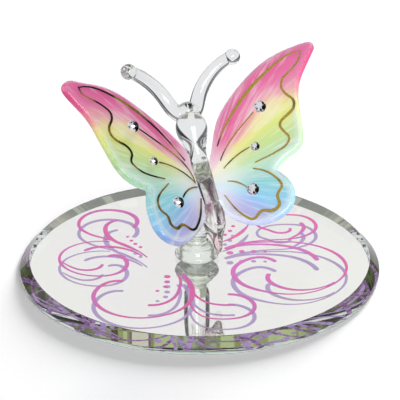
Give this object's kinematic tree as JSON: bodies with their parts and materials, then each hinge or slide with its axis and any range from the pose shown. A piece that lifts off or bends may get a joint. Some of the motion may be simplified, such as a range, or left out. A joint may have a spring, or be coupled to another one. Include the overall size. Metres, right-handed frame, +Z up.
{
  "type": "glass butterfly ornament",
  "caption": "Clear lampworked glass butterfly with painted rainbow wings, gold lines and small crystals, standing on a short glass post on a round bevelled mirror with pink scrollwork.",
  "frame": {"origin": "centre of the mirror's underside, on the surface that it rests on", "axes": "+Z up, square to the mirror; +Y towards the butterfly's head; +X towards the wing on the right-hand side of the picture"},
  "size_m": [0.095, 0.095, 0.0574],
  "materials": {
    "mirror_glass": "polished, bevelled rim",
    "silvering": "mirror",
    "backing_paint": "matt guard paint",
    "scroll_ink": "printed enamel, satin",
    "clear_adhesive": "clear set adhesive",
    "clear_glass": "fire polished",
    "painted_glass": "fire polished, watercolour rainbow paint from pink through yellow and mint to lilac",
    "gold_enamel": "burnished gold enamel",
    "crystal": "cut, foil backed"
  },
  "bodies": {
    "root": {"mirror_glass": "mirror_glass", "mirror_silvering": "silvering", "mirror_backing": "backing_paint", "scroll_print": "scroll_ink", "foot_glue": "clear_adhesive", "post": "clear_glass", "thorax": "clear_glass", "abdomen": "clear_glass", "tail_drop": "clear_glass", "head": "clear_glass", "antenna_left": "clear_glass", "antenna_right": "clear_glass", "wing_left": "painted_glass", "wing_right": "painted_glass", "gold_lines_left": "gold_enamel", "gold_lines_right": "gold_enamel", "crystal_left_upper": "crystal", "crystal_left_middle": "crystal", "crystal_left_lower": "crystal", "crystal_right_upper": "crystal", "crystal_right_middle": "crystal", "crystal_right_lower": "crystal"}
  },
  "joints": []
}
